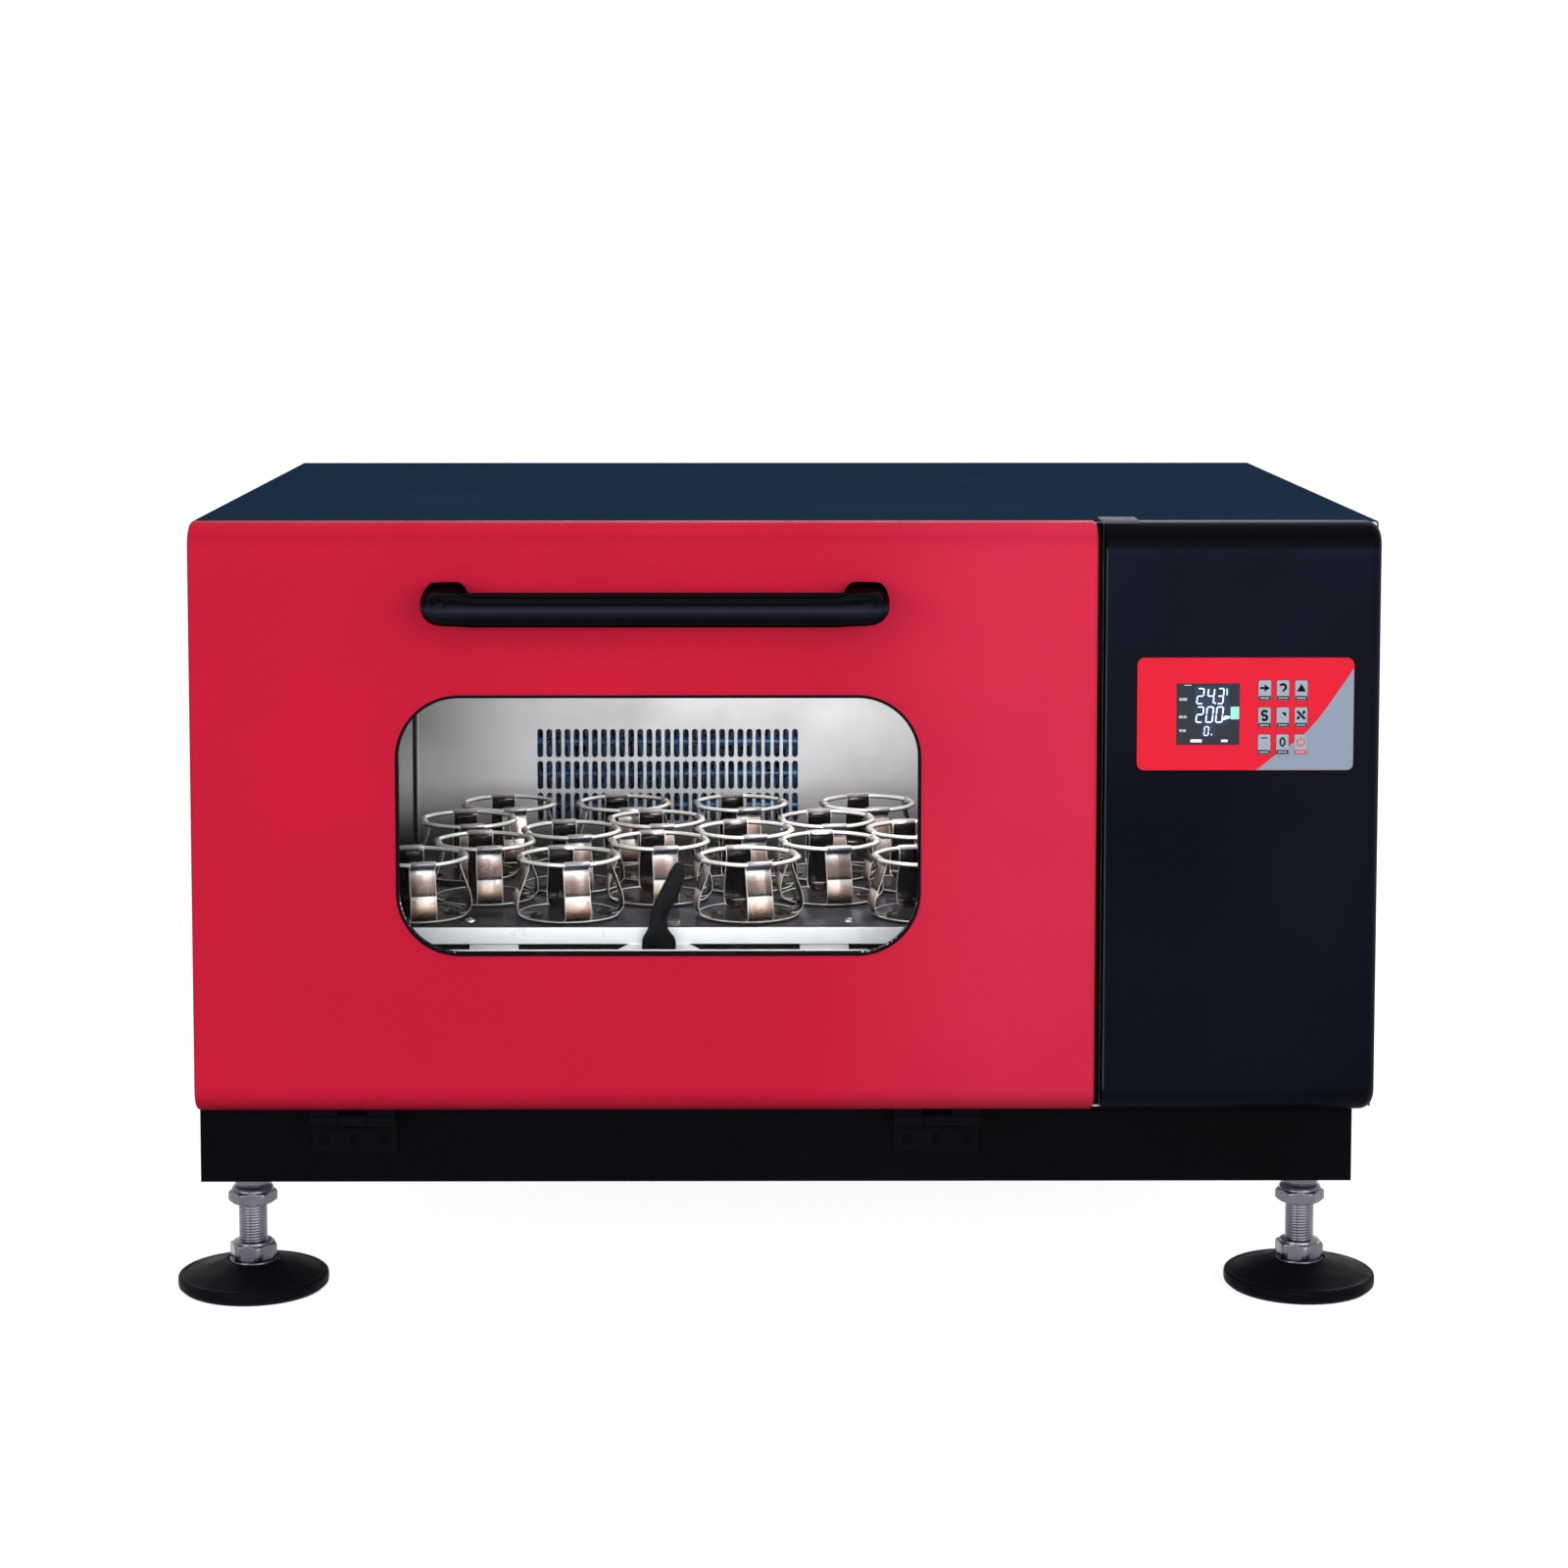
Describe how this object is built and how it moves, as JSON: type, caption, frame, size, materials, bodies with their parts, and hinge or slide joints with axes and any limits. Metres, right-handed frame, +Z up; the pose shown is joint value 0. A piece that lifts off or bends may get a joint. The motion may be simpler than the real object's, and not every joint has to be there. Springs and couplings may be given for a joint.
{
  "type": "incubated benchtop shaker",
  "caption": "Incubated benchtop shaker: drop-down door with window and bail handle, orbiting tray of spring flask clamps, control column with keypad, levelling feet.",
  "frame": {"origin": "on the bench, under the middle of the whole object", "axes": "+X to the right of someone facing the door, -Y towards that person, +Z up"},
  "size_m": [1.0234, 0.804, 0.6633],
  "materials": {
    "door_red": "gloss",
    "navy_paint": "satin",
    "column_black": "satin",
    "plinth_black": "satin",
    "zinc_sheet": "matte",
    "stainless": "brushed",
    "spring_steel": "polished",
    "cast_aluminium": "cast",
    "blue_fin": "coated",
    "foam": "matte",
    "panel_red": "satin film",
    "display_film": "gloss",
    "key_silver": "satin",
    "board_green": "satin",
    "gloss_black": "gloss",
    "matte_black": "matte",
    "black_rubber": "matte",
    "clear_glass": "clear",
    "plated_steel": "plated",
    "black_steel": "satin"
  },
  "bodies": {
    "cabinet": {"base_pan": "zinc_sheet", "plinth_frame": "plinth_black", "cabinet_shell": "navy_paint", "rear_panel": "zinc_sheet", "front_frame": "stainless", "chamber_liner": "stainless", "duct_panel": "stainless", "foam_jacket": "foam", "column_cover": "column_black", "column_tab": "plated_steel", "keypad_panel": "panel_red", "display_window": "display_film", "control_board": "board_green", "hinge_lower_leaves": "black_steel", "hinge_screws": "plated_steel", "foot_lock_nuts": "plated_steel", "bearing_housings": "cast_aluminium", "shaft_bearings": "plated_steel", "drive_motor": "cast_aluminium", "drive_belt": "black_rubber", "fan_motor": "black_steel", "evaporator_coil": "blue_fin", "compressor": "black_steel", "condenser": "cast_aluminium", "power_inlet": "matte_black"},
    "door": {"door_skin": "door_red", "door_liner": "stainless", "outer_pane": "clear_glass", "inner_pane": "clear_glass", "window_gasket": "black_rubber", "door_seal": "black_rubber", "door_handle": "gloss_black", "hinge_upper_leaves": "black_steel"},
    "crank": {"crank_shaft": "plated_steel", "drive_pulley": "cast_aluminium"},
    "carriage": {"shaker_carriage": "cast_aluminium", "tray": "stainless", "clamp_bases": "spring_steel", "clamp_leaves": "spring_steel", "clamp_rings": "spring_steel", "lock_plate": "plated_steel"},
    "lock_lever": {"lock_lever": "matte_black"},
    "idler_left": {"idler_crank_left": "plated_steel"},
    "idler_right": {"idler_crank_right": "plated_steel"},
    "motor_rotor": {"motor_pulley": "cast_aluminium"},
    "fan_wheel": {"fan_impeller": "matte_black"},
    "rocker": {"mains_rocker": "matte_black"},
    "key_1_1_cap": {"key_1_1": "key_silver"},
    "key_1_2_cap": {"key_1_2": "key_silver"},
    "key_1_3_cap": {"key_1_3": "key_silver"},
    "key_2_1_cap": {"key_2_1": "key_silver"},
    "key_2_2_cap": {"key_2_2": "key_silver"},
    "key_2_3_cap": {"key_2_3": "key_silver"},
    "key_3_1_cap": {"key_3_1": "key_silver"},
    "key_3_2_cap": {"key_3_2": "key_silver"},
    "key_3_3_cap": {"key_3_3": "key_silver"},
    "levelling_foot_front_left_unit": {"levelling_foot_front_left": "black_rubber"},
    "levelling_foot_front_right_unit": {"levelling_foot_front_right": "black_rubber"},
    "levelling_foot_rear_left_unit": {"levelling_foot_rear_left": "black_rubber"},
    "levelling_foot_rear_right_unit": {"levelling_foot_rear_right": "black_rubber"}
  },
  "joints": [
    {"name": "door_hinge", "type": "hinge", "parent": "cabinet", "child": "door", "pos_m": [-0.1106, -0.322, 0.16], "axis": [1, 0, 0], "range_deg": [0, 90]},
    {"name": "drive_spin", "type": "hinge", "parent": "cabinet", "child": "crank", "pos_m": [-0.0875, -0.075, 0.2645], "axis": [0, 0, 1], "continuous": true},
    {"name": "carriage_pivot", "type": "hinge", "parent": "crank", "child": "carriage", "pos_m": [-0.1, -0.075, 0.285], "axis": [0, 0, 1], "continuous": true},
    {"name": "idler_left_spin", "type": "hinge", "parent": "cabinet", "child": "idler_left", "pos_m": [-0.2775, -0.075, 0.2645], "axis": [0, 0, 1], "continuous": true},
    {"name": "idler_right_spin", "type": "hinge", "parent": "cabinet", "child": "idler_right", "pos_m": [0.1025, -0.075, 0.2645], "axis": [0, 0, 1], "continuous": true},
    {"name": "motor_spin", "type": "hinge", "parent": "cabinet", "child": "motor_rotor", "pos_m": [-0.0875, 0.14, 0.22], "axis": [0, 0, 1], "continuous": true},
    {"name": "fan_spin", "type": "hinge", "parent": "cabinet", "child": "fan_wheel", "pos_m": [-0.1, 0.22, 0.53], "axis": [0, 1, 0], "continuous": true},
    {"name": "lock_lever_pivot", "type": "hinge", "parent": "carriage", "child": "lock_lever", "pos_m": [-0.1, -0.263, 0.2918], "axis": [0, 1, 0], "range_deg": [0, 75]},
    {"name": "rocker_tilt", "type": "hinge", "parent": "cabinet", "child": "rocker", "pos_m": [0.4365, 0.396, 0.5313], "axis": [1, 0, 0], "range_deg": [-16, 0]},
    {"name": "key_1_1_press", "type": "slide", "parent": "cabinet", "child": "key_1_1_cap", "axis": [0, 1, 0], "range_m": [0, 0.0005], "stiffness_N_per_m": 900},
    {"name": "key_1_2_press", "type": "slide", "parent": "cabinet", "child": "key_1_2_cap", "axis": [0, 1, 0], "range_m": [0, 0.0005], "stiffness_N_per_m": 900},
    {"name": "key_1_3_press", "type": "slide", "parent": "cabinet", "child": "key_1_3_cap", "axis": [0, 1, 0], "range_m": [0, 0.0005], "stiffness_N_per_m": 900},
    {"name": "key_2_1_press", "type": "slide", "parent": "cabinet", "child": "key_2_1_cap", "axis": [0, 1, 0], "range_m": [0, 0.0005], "stiffness_N_per_m": 900},
    {"name": "key_2_2_press", "type": "slide", "parent": "cabinet", "child": "key_2_2_cap", "axis": [0, 1, 0], "range_m": [0, 0.0005], "stiffness_N_per_m": 900},
    {"name": "key_2_3_press", "type": "slide", "parent": "cabinet", "child": "key_2_3_cap", "axis": [0, 1, 0], "range_m": [0, 0.0005], "stiffness_N_per_m": 900},
    {"name": "key_3_1_press", "type": "slide", "parent": "cabinet", "child": "key_3_1_cap", "axis": [0, 1, 0], "range_m": [0, 0.0005], "stiffness_N_per_m": 900},
    {"name": "key_3_2_press", "type": "slide", "parent": "cabinet", "child": "key_3_2_cap", "axis": [0, 1, 0], "range_m": [0, 0.0005], "stiffness_N_per_m": 900},
    {"name": "key_3_3_press", "type": "slide", "parent": "cabinet", "child": "key_3_3_cap", "axis": [0, 1, 0], "range_m": [0, 0.0005], "stiffness_N_per_m": 900},
    {"name": "levelling_foot_front_left_screw", "type": "slide", "parent": "cabinet", "child": "levelling_foot_front_left_unit", "axis": [0, 0, 1], "range_m": [-0.025, 0.03]},
    {"name": "levelling_foot_front_right_screw", "type": "slide", "parent": "cabinet", "child": "levelling_foot_front_right_unit", "axis": [0, 0, 1], "range_m": [-0.025, 0.03]},
    {"name": "levelling_foot_rear_left_screw", "type": "slide", "parent": "cabinet", "child": "levelling_foot_rear_left_unit", "axis": [0, 0, 1], "range_m": [-0.025, 0.03]},
    {"name": "levelling_foot_rear_right_screw", "type": "slide", "parent": "cabinet", "child": "levelling_foot_rear_right_unit", "axis": [0, 0, 1], "range_m": [-0.025, 0.03]}
  ],
  "couplings": [
    {"joint": "carriage_pivot", "follows": "drive_spin", "ratio": -1},
    {"joint": "idler_left_spin", "follows": "drive_spin", "ratio": 1},
    {"joint": "idler_right_spin", "follows": "drive_spin", "ratio": 1},
    {"joint": "motor_spin", "follows": "drive_spin", "ratio": 2.5}
  ]
}
